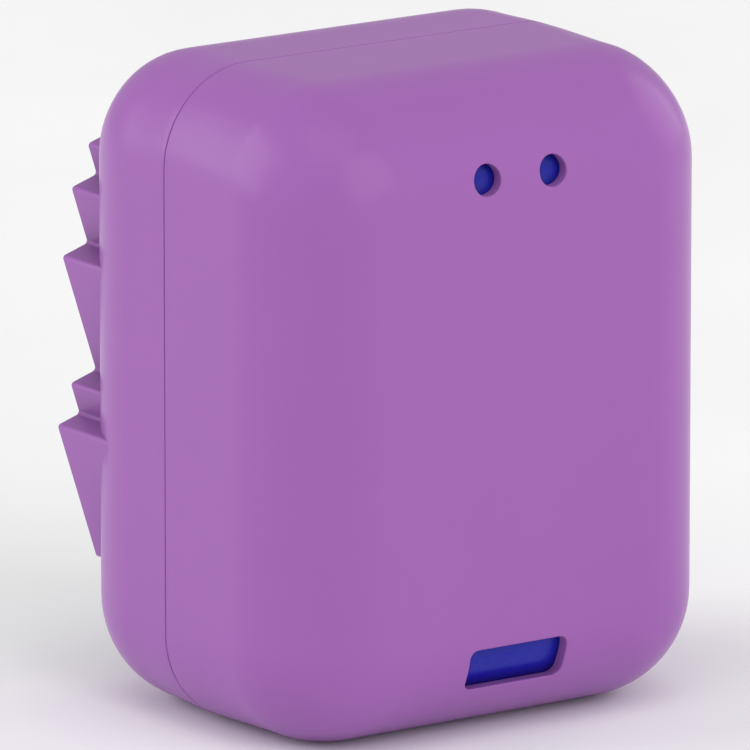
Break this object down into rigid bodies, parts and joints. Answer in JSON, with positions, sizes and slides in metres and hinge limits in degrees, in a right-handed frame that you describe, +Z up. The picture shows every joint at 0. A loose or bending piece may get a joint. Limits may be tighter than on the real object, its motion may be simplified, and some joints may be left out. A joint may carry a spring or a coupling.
{
  "type": "virtual pet keychain",
  "caption": "Rounded two-shell virtual pet with a blue light tray behind round and slotted openings, a tilted stepped plate, a display and push buttons.",
  "frame": {"origin": "centre of the bounding box at the flat base, where the case stands", "axes": "+Z up; the plain front face with the openings looks along -Y; the display side looks along +Y; X is the width"},
  "size_m": [0.0398, 0.033, 0.05],
  "materials": {
    "purple_shell": "fine satin moulded plastic",
    "blue_tray": "smooth translucent blue plastic",
    "panel_black": "polished panel",
    "lens_clear": "clear acrylic",
    "foam": "closed-cell foam",
    "lcd_glass": "liquid crystal glass behind a polariser",
    "white_plastic": "moulded",
    "light_guide": "frosted acrylic",
    "elastomer": "silicone rubber",
    "board_green": "solder mask",
    "board_white": "white solder mask",
    "chip_black": "moulded package",
    "steel": "plated",
    "ceramic": "ceramic chips",
    "button_blue": "polished moulded plastic",
    "foil": "laminated pouch foil",
    "lead_red": "flexible insulation",
    "led": "moulded lens",
    "ribbon": "polyimide film"
  },
  "bodies": {
    "case": {"front_shell": "purple_shell", "rear_shell": "purple_shell", "light_tray": "blue_tray", "face_panel": "panel_black", "display_lens": "lens_clear", "lcd_gasket": "foam", "lcd_glass": "lcd_glass", "lcd_frame": "white_plastic", "backlight": "light_guide", "contact_strips": "elastomer", "main_board": "board_green", "processor_chip": "chip_black", "crystal": "steel", "board_parts": "ceramic", "board_screws": "steel", "sounder": "chip_black", "sound_gasket": "foam", "keypad": "elastomer", "shell_screws": "steel", "mid_frame": "white_plastic", "battery_cell": "foil", "battery_pad": "foam", "battery_leads": "lead_red", "battery_plug": "white_plastic", "battery_socket": "white_plastic", "light_board": "board_white", "light_leds": "led", "light_board_screws": "steel", "ribbon_sockets": "white_plastic", "light_ribbon": "ribbon", "charge_port": "steel", "port_tongue": "chip_black"},
    "button_left": {"button_left": "button_blue"},
    "button_middle": {"button_middle": "button_blue"},
    "button_right": {"button_right": "button_blue"}
  },
  "joints": [
    {"name": "button_left_press", "type": "slide", "parent": "case", "child": "button_left", "axis": [0, -1, 0], "range_m": [0, 0.0006], "stiffness_N_per_m": 800, "deforming": ["keypad"]},
    {"name": "button_middle_press", "type": "slide", "parent": "case", "child": "button_middle", "axis": [0, -1, 0], "range_m": [0, 0.0006], "stiffness_N_per_m": 800, "deforming": ["keypad"]},
    {"name": "button_right_press", "type": "slide", "parent": "case", "child": "button_right", "axis": [0, -1, 0], "range_m": [0, 0.0006], "stiffness_N_per_m": 800, "deforming": ["keypad"]}
  ]
}
